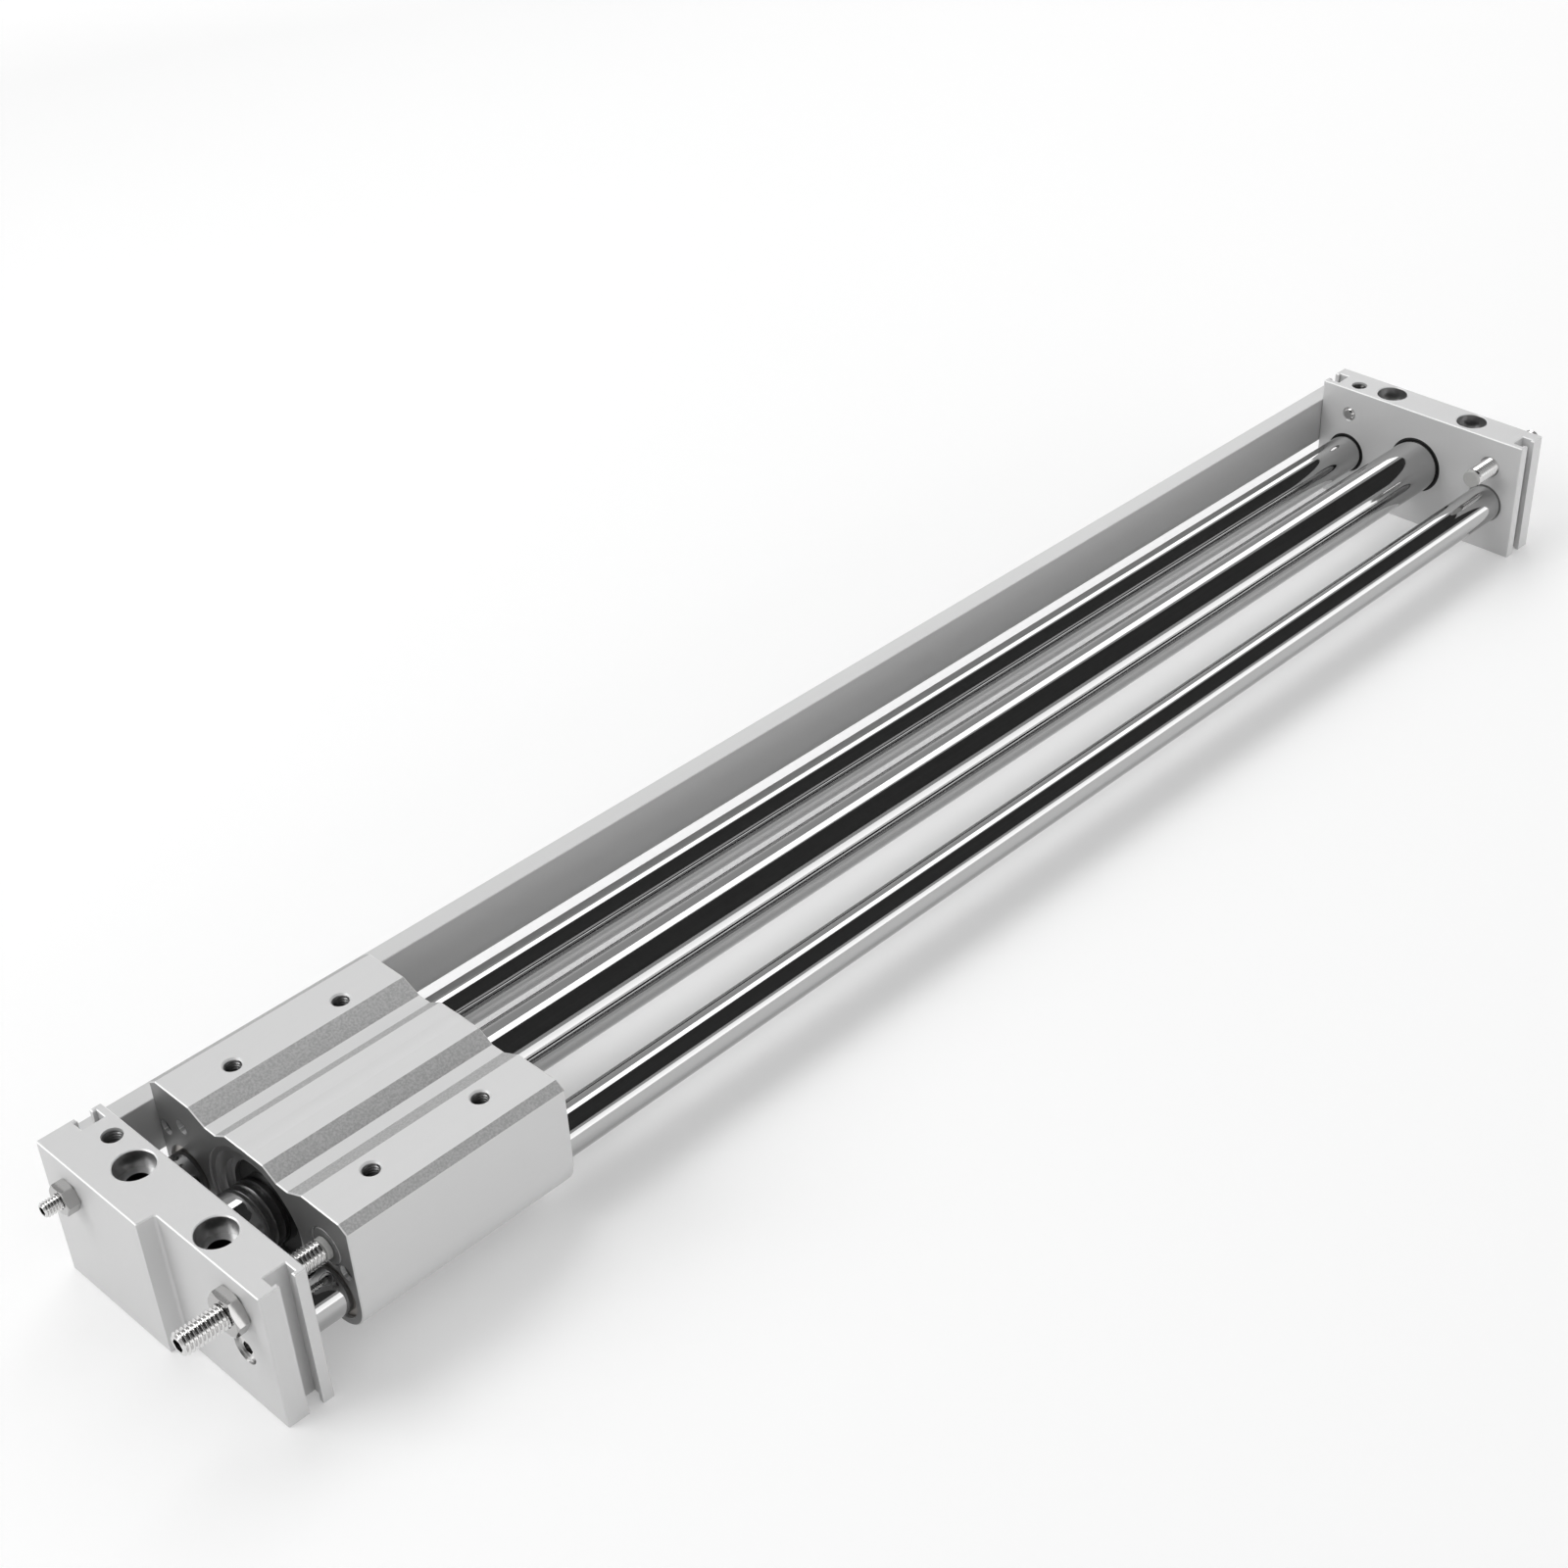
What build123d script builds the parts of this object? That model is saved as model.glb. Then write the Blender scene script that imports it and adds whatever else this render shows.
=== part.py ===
from build123d import *
import os

os.makedirs("parts", exist_ok=True)

# A magnetically coupled rodless cylinder with a guided slide block.
# X runs along the stroke, Y across it and Z up. The origin lies on the underside, midway
# between the end plates. The block is shown at its near stop, on the -X side.
# All sizes are in millimetres.

# Fits. The first three are radial.
running_fit = 0.03
seat_fit = 0.02
thread_fit = 0.05
end_play = 0.05
contact_gap = 0.05

# Stroke and lay-out
stroke = 400.0
full_stroke_reach = 4.25
set_reach = 11.25
block_length = 60.0
inner_gap = block_length + stroke + 2 * full_stroke_reach
half_gap = inner_gap / 2
near_face = -half_gap + set_reach
block_x = near_face + block_length / 2

# End plates
plate_width = 75.0
plate_height = 39.0
plate_thickness = 12.0
plate_boss = 4.5
boss_edge_y = -0.8
boss_slant = 0.4
boss_fillet = 0.8
plate_corner = 0.5
plate_edge = 0.25
half_width = plate_width / 2

# Tube and rods
bore = 15.0
tube_wall = 1.0
tube_seat = 5.0
tube_z = 20.8
air_chamber_radius = 5.0
air_chamber_depth = 2.5
rod_radius = 6.0
rod_seat = 5.5
rod_z = 16.3
rod_slot_wall = 0.5
rod_seat_mouth = 0.4
rod_end_chamfer = 0.5
rod_air_bore = 2.5
tube_radius = bore / 2 + tube_wall

# T-slots in both end faces of each plate
slot_lip = 1.3
slot_neck = 3.8
slot_cavity = 5.75
slot_depth = 4.5
slot_inset = 4.875

# Places of the rods, the adjusting bolts and the adjusting screws across the stroke
rod_y = half_width - slot_depth - rod_slot_wall - rod_radius
bolt_y = -rod_y - 0.3
bolt_z = 29.3
screw_y = rod_y + 0.2
screw_z = 30.2

# Mounting holes of the end plates
mount_inset = 6.4
mount_spacing = 30.0
mount_radius = 2.75
mount_head_radius = 4.75
mount_head_depth = 5.0
mount_rim = 0.3

# Air ports
port_inset = 4.35
port_y = 26.45
port_radius = 2.5
port_depth = 6.0

# Gaskets, set into the inner faces of the plates
gasket_width = 1.2
tube_gasket_section = 0.8
rod_gasket_section = 0.7
gasket_edge = 0.2

# Screws that hold the rods
rod_screw_radius = 2.0
rod_screw_head_radius = 3.5
rod_screw_head = 3.5
rod_screw_recess_radius = 3.7
rod_screw_recess = 4.2
rod_screw_grip = 10.0
rod_screw_socket = 3.0
set_screw_radius = 2.0
set_screw_length = 6.0
set_screw_socket = 2.0
socket_depth = 2.0

# Adjusting bolts and screws
bolt_radius = 2.95
bolt_overhang = 14.0
bolt_socket = 3.0
bolt_socket_depth = 4.0
bolt_chamfer = 0.6
bolt_nut_flats = 10.0
bolt_nut_height = 3.2
bumper_radius = 2.7
bumper_thickness = 1.5
bumper_edge = 0.25
bumper_stem_radius = 1.9
bumper_stem = 3.0
screw_radius = 1.95
screw_overhang = 7.2
screw_reach = 0.6
screw_socket = 2.0
screw_socket_depth = 3.0
screw_nose = 0.8
screw_chamfer = 0.4
screw_nut_flats = 7.0
screw_nut_height = 3.2
thread_mouth = 0.45

# Slide block outline: half widths from the middle outwards, and heights
block_top = 40.0
ridge_half = 6.9
groove_inner = 11.15
groove_outer = 15.1
pad_inner = 20.55
groove_depth = 2.5
edge_chamfer_y = 2.6
edge_chamfer_z = 1.6
belly_wall = 1.8
block_edge = 0.25

# Bores and holes of the slide block
bush_radius = 7.5
bush_wall = 1.9
bush_length = 20.0
bush_recess = 0.8
rod_clearance = 0.6
table_hole_x = 30.0
table_hole_y = 50.0
table_hole_radius = 2.1
table_hole_depth = 9.5
table_hole_mouth = 0.4
strike_ring_radius = 4.5
strike_ring_width = 0.5
strike_ring_depth = 0.4
strike_hole_radius = 1.9
strike_hole_depth = 8.0
strike_hole_inset = 1.0
strike_hole_rise = 0.8
magnet_hole_radius = 2.0
magnet_hole_depth = 10.5
magnet_hole_wall = 1.0
magnet_hole_z = 26.5
spare_hole_wall = 1.3
spare_hole_z = 25.1
switch_magnet_length = 9.5

# Magnet sleeve of the slider and magnet stack of the piston
sleeve_bush_wall = 1.88
sleeve_half = 28.4
magnet_count = 4
magnet_width = 6.0
yoke_width = 3.2
outer_magnet_bore = 9.3
outer_yoke_bore = 9.1
outer_magnet_share = 0.525
wear_ring_width = 3.9
scraper_width = 2.0
snap_ring_width = 1.0
snap_ring_groove = 0.7
snap_ring_land = 2.1
inner_magnet_radius = 6.9
inner_yoke_radius = 7.0
stack_half = (magnet_count * magnet_width + (magnet_count + 1) * yoke_width) / 2

# Piston
shaft_radius = 2.0
shaft_half = 36.5
piston_radius = 7.35
piston_length = 11.0
piston_ring_place = 1.5
piston_ring_width = 2.5
piston_ring_depth = 0.8
piston_seal_place = 6.5
piston_seal_width = 2.2
piston_seal_depth = 1.8
piston_nut_flats = 7.0
piston_nut_height = 2.2
piston_bumper_radius = 5.5
piston_bumper_width = 3.5

# Switch rail, screwed to the left end faces of the plates
rail_height = 15.0
rail_top = 32.0
rail_depth = 5.75
rail_back = 1.9
rail_wall = 1.5
rail_lip = 1.2
rail_mouth = 8.0
rail_end_margin = 3.9
rail_corner = 0.3
rail_screw_radius = 1.45
rail_screw_hole = 1.6
rail_screw_head_radius = 2.7
rail_screw_head = 1.6
rail_screw_socket = 2.0
rail_screw_socket_depth = 0.9
rail_screw_edge = 0.3
rail_nut_height = 10.0
rail_nut_play = 0.1

# Directions of the near and the far end, and the planes that the pieces are drawn on
ends = (-1, 1)
rail_z = rail_top - rail_height / 2
set_screw_inset = (gasket_width + rod_seat) / 2


def across(x):
    """Return the plane across the stroke at x, on which sketches run in Y and Z."""
    return Plane.YZ.offset(x)


def inner_face(side):
    """Return the X of a plate's inner face."""
    return side * half_gap


def outer_face(side, y):
    """Return the X of a plate's outer face at y: the near plate's left half is thicker."""
    boss = plate_boss if side < 0 and y > boss_edge_y else 0.0
    return side * (half_gap + plate_thickness + boss)


def drill(radius, x, y, z, depth, side):
    """Cut a round hole along X from (x, y, z), towards the far end or the near end."""
    with Locations((x, y, z)):
        Cylinder(
            radius,
            depth,
            rotation=(0, 90 * side, 0),
            align=(Align.CENTER, Align.CENTER, Align.MIN),
            mode=Mode.SUBTRACT,
        )


def open_mouth(radius, x, y, z, width, side):
    """Bevel the mouth of a hole along X at (x, y, z) by width, all round."""
    with Locations((x, y, z)):
        Cone(
            radius + width,
            radius,
            width,
            rotation=(0, 90 * side, 0),
            align=(Align.CENTER, Align.CENTER, Align.MIN),
            mode=Mode.SUBTRACT,
        )


def save(piece, name):
    """Label a finished piece and write it to its own file."""
    piece.part.label = name
    export_step(piece.part, f"parts/{name}.step")


# End plates
def build_plate(side):
    """Build an end plate from its outline, seen from above, and drill it."""
    x_inner = inner_face(side)
    x_thin = x_inner + side * plate_thickness
    with BuildPart() as plate:
        with BuildSketch() as outline:
            with Locations(((x_inner + x_thin) / 2, 0)):
                Rectangle(plate_thickness, plate_width)
            if side < 0:
                x_thick = outer_face(side, half_width)
                with BuildLine():
                    Polyline(
                        (x_thin, half_width),
                        (x_thick, half_width),
                        (x_thick, boss_edge_y),
                        (x_thin, boss_edge_y - boss_slant),
                        close=True,
                    )
                make_face()
                concave = outline.vertices().sort_by_distance((x_thin, boss_edge_y - boss_slant, 0))[0]
                fillet(concave, boss_fillet)
            corners = outline.vertices().filter_by(lambda v: abs(abs(v.Y) - half_width) < plate_corner)
            fillet(corners, plate_corner)
            for end in ends:
                x_slot = x_inner + side * slot_inset
                with Locations((x_slot, end * (half_width - slot_lip / 2))):
                    Rectangle(slot_neck, slot_lip, mode=Mode.SUBTRACT)
                cavity_depth = slot_depth - slot_lip
                with Locations((x_slot, end * (half_width - slot_lip - cavity_depth / 2))):
                    Rectangle(slot_cavity, cavity_depth, mode=Mode.SUBTRACT)
        extrude(amount=plate_height)
        chamfer(plate.edges().group_by(Axis.Z)[-1], plate_edge)
        chamfer(plate.edges().group_by(Axis.Z)[0], plate_edge)

        # Mounting holes from above, and the air port
        x_mount = x_inner + side * mount_inset
        with Locations(*[(x_mount, end * mount_spacing / 2, plate_height) for end in ends]):
            CounterBoreHole(mount_radius, mount_head_radius, mount_head_depth)
        rims = plate.edges().filter_by(GeomType.CIRCLE).group_by(Axis.Z)[-1]
        chamfer(rims.filter_by(lambda rim: rim.radius > mount_radius), mount_rim)
        with Locations((x_inner + side * port_inset, port_y, plate_height)):
            Hole(port_radius, depth=port_depth)

        # Seats of the tube and the rods, with their gaskets
        drill(tube_radius + seat_fit, x_inner, 0, tube_z, tube_seat, side)
        drill(tube_radius + tube_gasket_section, x_inner, 0, tube_z, gasket_width, side)
        drill(air_chamber_radius, x_inner, 0, tube_z, tube_seat + air_chamber_depth, side)
        for y in (-rod_y, rod_y):
            drill(rod_radius + seat_fit, x_inner, y, rod_z, rod_seat, side)
        drill(rod_radius + rod_gasket_section, x_inner, rod_y, rod_z, gasket_width, side)
        open_mouth(rod_radius + seat_fit, x_inner, -rod_y, rod_z, rod_seat_mouth, side)

        # Screw of the right rod, in its recess
        x_out = outer_face(side, -rod_y)
        drill(rod_screw_recess_radius, x_out, -rod_y, rod_z, rod_screw_recess, -side)
        drill(rod_screw_radius + thread_fit, x_out, -rod_y, rod_z, plate_thickness, -side)

        # Set screw of the left rod, from below
        with Locations((x_inner + side * set_screw_inset, rod_y, 0)):
            Cylinder(
                set_screw_radius + thread_fit,
                rod_z,
                align=(Align.CENTER, Align.CENTER, Align.MIN),
                mode=Mode.SUBTRACT,
            )

        # Threaded holes of the adjusting bolt and the adjusting screw
        bolt_hole = bolt_radius + thread_fit
        drill(bolt_hole, x_inner, bolt_y, bolt_z, plate_thickness, side)
        open_mouth(bolt_hole, x_inner, bolt_y, bolt_z, thread_mouth, side)
        screw_hole = screw_radius + thread_fit
        drill(screw_hole, x_inner, screw_y, screw_z, plate_thickness + plate_boss, side)
        open_mouth(screw_hole, x_inner, screw_y, screw_z, thread_mouth, side)
    return plate


for side, end_name in zip(ends, ("near", "far")):
    save(build_plate(side), f"end_plate_{end_name}")


# Cylinder tube
with BuildPart() as cylinder_tube:
    tube_half = half_gap + tube_seat - end_play
    with BuildSketch(across(-tube_half)):
        with Locations((0, tube_z)):
            Circle(tube_radius)
            Circle(bore / 2, mode=Mode.SUBTRACT)
    extrude(amount=2 * tube_half)
save(cylinder_tube, "cylinder_tube")


# Guide rods: the left one is bored through, the right one is tapped at both ends
rod_half = half_gap + rod_seat - end_play
with BuildPart() as guide_rod_left:
    with BuildSketch(across(-rod_half)):
        with Locations((rod_y, rod_z)):
            Circle(rod_radius)
            Circle(rod_air_bore, mode=Mode.SUBTRACT)
    extrude(amount=2 * rod_half)
    rims = guide_rod_left.edges().filter_by(GeomType.CIRCLE)
    chamfer(rims.filter_by(lambda rim: rim.radius > rod_air_bore), rod_end_chamfer)
save(guide_rod_left, "guide_rod_left")

with BuildPart() as guide_rod_right:
    with BuildSketch(across(-rod_half)):
        with Locations((-rod_y, rod_z)):
            Circle(rod_radius)
    extrude(amount=2 * rod_half)
    chamfer(guide_rod_right.edges().filter_by(GeomType.CIRCLE), rod_end_chamfer)
    for side in ends:
        drill(
            rod_screw_radius + thread_fit, side * rod_half, -rod_y, rod_z, rod_screw_grip + 2, -side
        )
save(guide_rod_right, "guide_rod_right")


def ring_set(places, outer, inner, width, centres=((0, tube_z),)):
    """Build equal rings along X, one from each X in places at each (Y, Z) in centres."""
    with BuildPart() as rings:
        for x in places:
            with BuildSketch(across(x)):
                with Locations(*centres):
                    Circle(outer)
                    Circle(inner, mode=Mode.SUBTRACT)
            extrude(amount=width)
    return rings


def mirrored(offset, width, middle=0.0):
    """Return where two pieces of one width start, at one distance each side of middle."""
    return (middle - offset - width, middle + offset)


# Gaskets in the plates' inner faces
def gasket_pair(radius, section, y, z):
    """Build the gaskets of one tube or rod, at both plates."""
    thickness = gasket_width - end_play
    with BuildPart() as gaskets:
        for x in mirrored(half_gap + end_play / 2, thickness):
            with BuildSketch(across(x)):
                with Locations((y, z)):
                    Circle(radius + section - seat_fit)
                    Circle(radius + seat_fit, mode=Mode.SUBTRACT)
            extrude(amount=thickness)
        chamfer(gaskets.edges().filter_by(GeomType.CIRCLE), gasket_edge)
    return gaskets


save(gasket_pair(tube_radius, tube_gasket_section, 0, tube_z), "tube_gaskets")
save(gasket_pair(rod_radius, rod_gasket_section, rod_y, rod_z), "rod_gaskets")


# Fasteners, each drawn along X or Z with a hexagon socket in its outer end
def socket_screw(x, y, z, side):
    """Build the socket head screw that holds the right rod, with its head outermost."""
    x_seat = x - side * rod_screw_recess
    with BuildPart() as screw:
        with BuildSketch(across(x_seat)):
            with Locations((y, z)):
                Circle(rod_screw_head_radius)
        extrude(amount=side * rod_screw_head)
        chamfer(screw.edges().sort_by(Axis.X)[-1 if side > 0 else 0], plate_edge)
        web = plate_thickness - rod_screw_recess - rod_seat
        with BuildSketch(across(x_seat)):
            with Locations((y, z)):
                Circle(rod_screw_radius)
        extrude(amount=-side * (web + end_play + rod_screw_grip))
        with BuildSketch(across(x_seat + side * rod_screw_head)):
            with Locations((y, z)):
                RegularPolygon(rod_screw_socket / 2, 6, major_radius=False)
        extrude(amount=-side * socket_depth, mode=Mode.SUBTRACT)
    return screw.part


with BuildPart() as rod_screws:
    for side in ends:
        add(socket_screw(outer_face(side, -rod_y), -rod_y, rod_z, side))
save(rod_screws, "rod_screws")


with BuildPart() as rod_set_screws:
    set_screw_top = rod_z - rod_radius
    for side in ends:
        x_set = inner_face(side) + side * set_screw_inset
        with BuildSketch(Plane.XY.offset(set_screw_top - set_screw_length)):
            with Locations((x_set, rod_y)):
                Circle(set_screw_radius)
        extrude(amount=set_screw_length - seat_fit)
        with BuildSketch(Plane.XY.offset(set_screw_top - set_screw_length)):
            with Locations((x_set, rod_y)):
                RegularPolygon(set_screw_socket / 2, 6, major_radius=False)
        extrude(amount=socket_depth, mode=Mode.SUBTRACT)
save(rod_set_screws, "rod_set_screws")


def hexagon_nut(x, y, z, side, flats, height, hole):
    """Build a nut along X that seats on the face at x, with both rims of its corners turned off."""
    corner = flats / 3 ** 0.5
    turned = (corner - flats / 2) / 2
    with BuildPart() as nut:
        with BuildSketch(across(x)):
            with Locations((y, z)):
                RegularPolygon(flats / 2, 6, major_radius=False)
                Circle(hole, mode=Mode.SUBTRACT)
        extrude(amount=side * height)
        with BuildSketch(Plane.XY.offset(z)):
            with BuildLine():
                Polyline(
                    (x, y),
                    (x, y + flats / 2),
                    (x + side * turned, y + corner),
                    (x + side * (height - turned), y + corner),
                    (x + side * height, y + flats / 2),
                    (x + side * height, y),
                    close=True,
                )
            make_face()
        revolve(axis=Axis((0, y, z), (1, 0, 0)), mode=Mode.INTERSECT)
    return nut.part


with BuildPart() as stop_bolt_nuts:
    for side in ends:
        x_nut = outer_face(side, bolt_y)
        hole = bolt_radius + thread_fit
        add(hexagon_nut(x_nut, bolt_y, bolt_z, side, bolt_nut_flats, bolt_nut_height, hole))
save(stop_bolt_nuts, "stop_bolt_nuts")

with BuildPart() as stop_screw_nuts:
    for side in ends:
        x_nut = outer_face(side, screw_y)
        hole = screw_radius + thread_fit
        add(hexagon_nut(x_nut, screw_y, screw_z, side, screw_nut_flats, screw_nut_height, hole))
save(stop_screw_nuts, "stop_screw_nuts")


# Adjusting bolts, with a soft bumper in the inner end
def build_stop_bolt(side):
    """Build an adjusting bolt, from its bumper to its socket end."""
    x_tip = side * (half_gap - set_reach + contact_gap + bumper_thickness)
    x_end = outer_face(side, bolt_y) + side * bolt_overhang
    with BuildPart() as bolt:
        with BuildSketch(across(x_tip)):
            with Locations((bolt_y, bolt_z)):
                Circle(bolt_radius)
        extrude(amount=x_end - x_tip)
        chamfer(bolt.edges().filter_by(GeomType.CIRCLE), bolt_chamfer)
        drill(bumper_stem_radius + seat_fit, x_tip, bolt_y, bolt_z, bumper_stem + end_play, side)
        with BuildSketch(across(x_end)):
            with Locations((bolt_y, bolt_z)):
                RegularPolygon(bolt_socket / 2, 6, major_radius=False)
        extrude(amount=-side * bolt_socket_depth, mode=Mode.SUBTRACT)
    return bolt


def build_bumper(side):
    """Build a bumper: a disc on a stem that plugs into the adjusting bolt."""
    x_strike = side * (half_gap - set_reach + contact_gap)
    with BuildPart() as bumper:
        with BuildSketch(across(x_strike)):
            with Locations((bolt_y, bolt_z)):
                Circle(bumper_radius)
        extrude(amount=side * bumper_thickness)
        chamfer(bumper.edges().filter_by(GeomType.CIRCLE), bumper_edge)
        with BuildSketch(across(x_strike + side * bumper_thickness)):
            with Locations((bolt_y, bolt_z)):
                Circle(bumper_stem_radius)
        extrude(amount=side * bumper_stem)
    return bumper


# Adjusting screws of the left side, with a bevelled nose
def build_stop_screw(side):
    """Build an adjusting screw, from its nose to its socket end."""
    x_tip = side * (half_gap - screw_reach)
    x_end = outer_face(side, screw_y) + side * screw_overhang
    with BuildPart() as screw:
        with BuildSketch(across(x_tip)):
            with Locations((screw_y, screw_z)):
                Circle(screw_radius)
        extrude(amount=x_end - x_tip)
        rims = screw.edges().filter_by(GeomType.CIRCLE).sort_by(lambda e: abs(e.center().X))
        chamfer(rims[0], screw_nose)
        chamfer(rims[-1], screw_chamfer)
        with BuildSketch(across(x_end)):
            with Locations((screw_y, screw_z)):
                RegularPolygon(screw_socket / 2, 6, major_radius=False)
        extrude(amount=-side * screw_socket_depth, mode=Mode.SUBTRACT)
    return screw


for side, end_name in zip(ends, ("near", "far")):
    save(build_stop_bolt(side), f"stop_bolt_{end_name}")
    save(build_bumper(side), f"stop_bumper_{end_name}")
    save(build_stop_screw(side), f"stop_screw_{end_name}")


# Switch rail: a channel that opens to the left, with a screw at each plate
rail_screw_x = half_gap + slot_inset
rail_half = rail_screw_x + rail_end_margin
with BuildPart() as switch_rail:
    with BuildSketch(across(-rail_half)):
        with Locations((half_width + rail_depth / 2, rail_z)):
            RectangleRounded(rail_depth, rail_height, rail_corner)
        cavity = rail_depth - rail_back - rail_lip
        with Locations((half_width + rail_back + cavity / 2, rail_z)):
            Rectangle(cavity, rail_height - 2 * rail_wall, mode=Mode.SUBTRACT)
        with Locations((half_width + rail_depth - rail_lip / 2, rail_z)):
            Rectangle(rail_lip, rail_mouth, mode=Mode.SUBTRACT)
    extrude(amount=2 * rail_half)
    with BuildSketch(Plane.XZ.offset(-half_width)):
        with Locations(*[(side * rail_screw_x, rail_z) for side in ends]):
            Circle(rail_screw_hole)
    extrude(amount=-rail_back, mode=Mode.SUBTRACT)
save(switch_rail, "switch_rail")

with BuildPart() as rail_screws:
    y_head = half_width + rail_back
    for side in ends:
        with BuildSketch(Plane.XZ.offset(-y_head)):
            with Locations((side * rail_screw_x, rail_z)):
                Circle(rail_screw_head_radius)
        extrude(amount=-rail_screw_head)
        with BuildSketch(Plane.XZ.offset(-y_head)):
            with Locations((side * rail_screw_x, rail_z)):
                Circle(rail_screw_radius)
        extrude(amount=rail_back + slot_depth - end_play)
        with BuildSketch(Plane.XZ.offset(-y_head - rail_screw_head)):
            with Locations((side * rail_screw_x, rail_z)):
                RegularPolygon(rail_screw_socket / 2, 6, major_radius=False)
        extrude(amount=rail_screw_socket_depth, mode=Mode.SUBTRACT)
    rims = rail_screws.edges().filter_by(GeomType.CIRCLE).group_by(Axis.Y)[-1]
    chamfer(rims, rail_screw_edge)
save(rail_screws, "rail_screws")

with BuildPart() as rail_nuts:
    for side in ends:
        with BuildSketch(Plane.XY.offset(rail_z - rail_nut_height / 2)):
            foot = slot_depth - slot_lip - rail_nut_play
            with Locations((side * rail_screw_x, half_width - slot_lip - foot / 2)):
                Rectangle(slot_cavity - 2 * rail_nut_play, foot)
            with Locations((side * rail_screw_x, half_width - slot_lip / 2 - rail_nut_play / 2)):
                Rectangle(slot_neck - 2 * rail_nut_play, slot_lip - rail_nut_play)
        extrude(amount=rail_nut_height)
    with BuildSketch(Plane.XZ.offset(-half_width)):
        with Locations(*[(side * rail_screw_x, rail_z) for side in ends]):
            Circle(rail_screw_radius + thread_fit)
    extrude(amount=slot_depth, mode=Mode.SUBTRACT)
save(rail_nuts, "rail_nuts")


# Slide block: its sleeve fills the room between the bushes, down to a thin wall
sleeve_radius = (rod_y ** 2 + (tube_z - rod_z) ** 2) ** 0.5 - bush_radius - sleeve_bush_wall
belly_radius = sleeve_radius + belly_wall
lobe_radius = bush_radius + bush_wall
block_half = rod_y + lobe_radius
block_floor = rod_z - lobe_radius
magnet_hole_y = block_half - magnet_hole_wall - magnet_hole_radius
spare_hole_y = -block_half + spare_hole_wall + magnet_hole_radius
magnet_hole_places = ((magnet_hole_y, magnet_hole_z), (spare_hole_y, spare_hole_z))
table_hole_places = [
    (block_x + end_x * table_hole_x / 2, end_y * table_hole_y / 2) for end_x in ends for end_y in ends
]
half_outline = [
    (ridge_half, block_top),
    (groove_inner, block_top - groove_depth),
    (groove_outer, block_top - groove_depth),
    (pad_inner, block_top),
    (block_half - edge_chamfer_y, block_top),
    (block_half, block_top - edge_chamfer_z),
    (block_half, rod_z),
]
with BuildPart() as slide_block:
    with BuildSketch(across(near_face)):
        with BuildLine():
            left_side = [(-y, z) for y, z in reversed(half_outline)]
            Polyline(*half_outline, *left_side, close=True)
        make_face()
        with Locations((-rod_y, rod_z), (rod_y, rod_z)):
            Circle(lobe_radius)
        with Locations((0, (rod_z + block_floor) / 2)):
            Rectangle(2 * rod_y, rod_z - block_floor)
        with Locations((0, tube_z)):
            Circle(belly_radius)
    extrude(amount=block_length)
    rims = slide_block.edges().group_by(Axis.X)
    chamfer(rims[0] + rims[-1], block_edge)

    # Bores of the sleeve and the bushes, with the grooves of the sleeve's snap rings
    drill(sleeve_radius, near_face, 0, tube_z, block_length, 1)
    groove_radius = sleeve_radius + snap_ring_groove
    for x in mirrored(sleeve_half, snap_ring_width + end_play, block_x):
        drill(groove_radius, x, 0, tube_z, snap_ring_width + end_play, 1)
    for y in (-rod_y, rod_y):
        drill(rod_radius + rod_clearance, near_face, y, rod_z, block_length, 1)
        for side in ends:
            x_rim = block_x + side * block_length / 2
            drill(bush_radius + seat_fit, x_rim, y, rod_z, bush_length + bush_recess, -side)

    # Threaded holes of the table, and the holes of the near face
    with Locations(*[(x, y, block_top) for x, y in table_hole_places]):
        CounterSinkHole(table_hole_radius, table_hole_radius + table_hole_mouth, depth=table_hole_depth)
    for y, z in magnet_hole_places:
        drill(magnet_hole_radius, near_face, y, z, magnet_hole_depth, 1)
    strike_y = screw_y - strike_hole_inset
    drill(strike_hole_radius, near_face, strike_y, screw_z + strike_hole_rise, strike_hole_depth, 1)
    for side in ends:
        with BuildSketch(across(block_x + side * block_length / 2)):
            with Locations((bolt_y, bolt_z)):
                Circle(strike_ring_radius + strike_ring_width)
                Circle(strike_ring_radius, mode=Mode.SUBTRACT)
        extrude(amount=-side * strike_ring_depth, mode=Mode.SUBTRACT)
save(slide_block, "slide_block")

with BuildPart() as switch_magnets:
    x_magnet = near_face + magnet_hole_depth - switch_magnet_length
    with BuildSketch(across(x_magnet)):
        with Locations(*magnet_hole_places):
            Circle(magnet_hole_radius - seat_fit)
    extrude(amount=switch_magnet_length)
save(switch_magnets, "switch_magnets")

bush_places = mirrored(block_length / 2 - bush_recess - bush_length, bush_length, block_x)
rod_centres = ((-rod_y, rod_z), (rod_y, rod_z))
guide_bushes = ring_set(bush_places, bush_radius, rod_radius + running_fit, bush_length, rod_centres)
save(guide_bushes, "guide_bushes")


# Magnet sleeve of the slider, and what it holds
sleeve_bore = outer_magnet_bore + outer_magnet_share * (sleeve_radius - outer_magnet_bore)
wear_ring_place = stack_half + end_play
scraper_place = wear_ring_place + wear_ring_width + end_play
inner_snap_place = scraper_place + scraper_width
with BuildPart() as outer_sleeve:
    with BuildSketch(across(block_x - sleeve_half)):
        with Locations((0, tube_z)):
            Circle(sleeve_radius - seat_fit)
            Circle(sleeve_bore, mode=Mode.SUBTRACT)
    extrude(amount=2 * sleeve_half)
    for x in mirrored(inner_snap_place, snap_ring_width + end_play, block_x):
        drill(sleeve_bore + snap_ring_groove, x, 0, tube_z, snap_ring_width + end_play, 1)
save(outer_sleeve, "outer_sleeve")

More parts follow.
